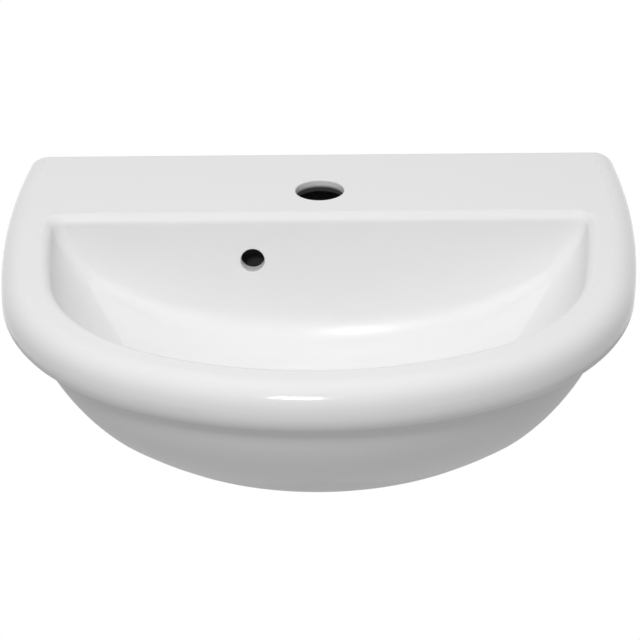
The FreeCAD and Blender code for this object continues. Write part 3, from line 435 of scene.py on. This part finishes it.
# %% Rings of barbs
BARB_RISE, BARB_LENGTH, BARB_STEP = 0.7 * MM, 3.0 * MM, 5.0 * MM
BARB_SINK, BARB_SEGMENTS = 0.3 * MM, 40
for side in ("left", "right"):
    low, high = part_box("wall_plug_" + side)
    axis_x = (low.x + high.x) / 2
    plug_radius = (high.x - low.x) / 2
    barbs = bmesh.new()
    barb_y = BARB_STEP
    while barb_y + BARB_LENGTH < high.y - BARB_STEP:
        tooth = [barbs.verts.new((plug_radius + out, barb_y + along, 0)) for out, along in (
            (-BARB_SINK, 0), (BARB_RISE, 0), (-BARB_SINK, BARB_LENGTH))]
        face = barbs.faces.new(tooth)
        bmesh.ops.spin(barbs, geom=tooth + list(face.edges) + [face], axis=(0, 1, 0),
                       cent=(0, 0, 0), angle=2 * math.pi, steps=BARB_SEGMENTS, use_merge=True)
        barb_y += BARB_STEP
    bmesh.ops.translate(barbs, verts=barbs.verts, vec=(axis_x, 0, (low.z + high.z) / 2))
    solid("wall_plug_barbs_" + side, barbs, "fixed", "grey_plastic")

# %% [markdown]
# ## Floor and white background
# The basin hangs in the air with no wall, as it does in the photograph, and the floor lies far below it.
# Floor and world are plain white to the camera, to reflections and to light that comes through, and grey to
# everything they light. So the white puts no extra light on the china, and the floor shows no shadow, as
# the photograph shows none.

# %% What sees the background as white
def white_to_view(tree):
    """1 for rays that should see the background as plain white, 0 for rays that light things."""
    path = tree.nodes.new("ShaderNodeLightPath")
    seen = Value(tree, path.outputs["Is Camera Ray"])
    for ray in ("Is Glossy Ray", "Is Transmission Ray"):
        seen = seen.either(Value(tree, path.outputs[ray]))
    return seen


# %% Pale floor
FLOOR_Z = -0.80
FLOOR_SIZE = 6.0
FLOOR_GREY = 0.75
board = bmesh.new()
bmesh.ops.create_grid(board, x_segments=1, y_segments=1, size=FLOOR_SIZE)
bmesh.ops.translate(board, verts=board.verts, vec=(0, 0, FLOOR_Z))
floor_mesh = bpy.data.meshes.new("studio_floor")
board.to_mesh(floor_mesh)
board.free()
floor = bpy.data.objects.new("studio_floor", floor_mesh)
bpy.context.collection.objects.link(floor)
floor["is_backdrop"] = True
paper = Finish("pale_floor", Base_Color=colour(FLOOR_GREY, FLOOR_GREY, FLOOR_GREY), Roughness=0.9)
glow = paper.node("Emission", Color=colour(1, 1, 1), Strength=1.0)
both = paper.node("MixShader", _0=white_to_view(paper.tree),
                  _1=Value(paper.tree, paper.shader.outputs[0]), _2=glow)
paper.tree.links.new(both.socket, paper.tree.nodes["Material Output"].inputs["Surface"])
floor_mesh.materials.append(paper.material)
print("floor:", FLOOR_Z, "m, faces:", len(floor_mesh.polygons))

# %% White world
SKY_LIGHT = 0.27
sky = bpy.data.worlds.new("studio")
bpy.context.scene.world = sky
sky.use_nodes = True
tree = sky.node_tree
plain = tree.nodes["Background"]
plain.inputs["Color"].default_value = colour(1, 1, 1)
plain.inputs["Strength"].default_value = SKY_LIGHT
bright = tree.nodes.new("ShaderNodeBackground")
bright.inputs["Color"].default_value = colour(1, 1, 1)
bright.inputs["Strength"].default_value = 1.0
blend = tree.nodes.new("ShaderNodeMixShader")
tree.links.new(white_to_view(tree).socket, blend.inputs[0])
tree.links.new(plain.outputs[0], blend.inputs[1])
tree.links.new(bright.outputs[0], blend.inputs[2])
tree.links.new(blend.outputs[0], tree.nodes["World Output"].inputs["Surface"])
print("sky light:", SKY_LIGHT)

# %% [markdown]
# ## Two soft lamps
# In the photograph one small bright lamp shows twice: on the rim a little left of the middle, and in the
# bowl a little right of it. A bulging rim and a hollow bowl move a reflection opposite ways, so the lamp
# stands in front and to the left. A second, larger lamp fills from above. It would draw a broad streak
# along the rim that the photograph doesn't have, so reflections don't see it.


# %% Soft lamps
def lamp(name, place, target, size, watts):
    """A rectangular soft lamp that points at a target."""
    data = bpy.data.lights.new(name, "AREA")
    data.shape = "RECTANGLE"
    data.size, data.size_y = size
    data.energy = watts
    thing = bpy.data.objects.new(name, data)
    thing.location = place
    thing.rotation_mode = "QUATERNION"
    thing.rotation_quaternion = (Vector(target) - Vector(place)).to_track_quat("-Z", "Y")
    bpy.context.collection.objects.link(thing)
    print(name, "lamp:", watts, "W")
    return thing


MIDDLE = (0.0, -0.18, 0.02)
KEY_PLACE, KEY_SIZE, KEY_WATTS = (-0.18, -1.66, 1.35), (0.34, 0.24), 17.0
TOP_PLACE, TOP_SIZE, TOP_WATTS = (-0.1, 0.1, 1.9), (1.6, 1.2), 14.0
lamp("key", KEY_PLACE, MIDDLE, KEY_SIZE, KEY_WATTS)
top = lamp("top", TOP_PLACE, MIDDLE, TOP_SIZE, TOP_WATTS)
top.visible_glossy = False

# %% [markdown]
# ## The camera
# The photograph was taken from in front and above, almost square on. The camera is set by the point it
# aims at, how far it is turned, raised and rolled, and its distance, because each of these moves one
# thing in the picture that can be compared with the photograph.

# %% Camera
YAW, RISE, ROLL = math.radians(1.05), math.radians(27.3), math.radians(-0.9)
AIM = Vector((0.0010, -0.188, 0.0235))
AWAY, LENS, SENSOR = 1.88, 153.1, 36.0
back = Vector((math.sin(YAW) * math.cos(RISE), -math.cos(YAW) * math.cos(RISE), math.sin(RISE)))
eye = bpy.data.cameras.new("camera")
eye.sensor_width = SENSOR
eye.lens = LENS
eye.clip_start, eye.clip_end = 0.05, 30.0
camera = bpy.data.objects.new("camera", eye)
camera.location = AIM + back * AWAY
camera.rotation_mode = "QUATERNION"
camera.rotation_quaternion = (-back).to_track_quat("-Z", "Y") @ \
    Matrix.Rotation(ROLL, 3, "Z").to_quaternion()
bpy.context.collection.objects.link(camera)
bpy.context.scene.camera = camera
bpy.context.scene.view_settings.view_transform = "Standard"
print("camera at", [round(side, 3) for side in camera.location])

# %% The bounds of the pieces that are shown
low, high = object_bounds()
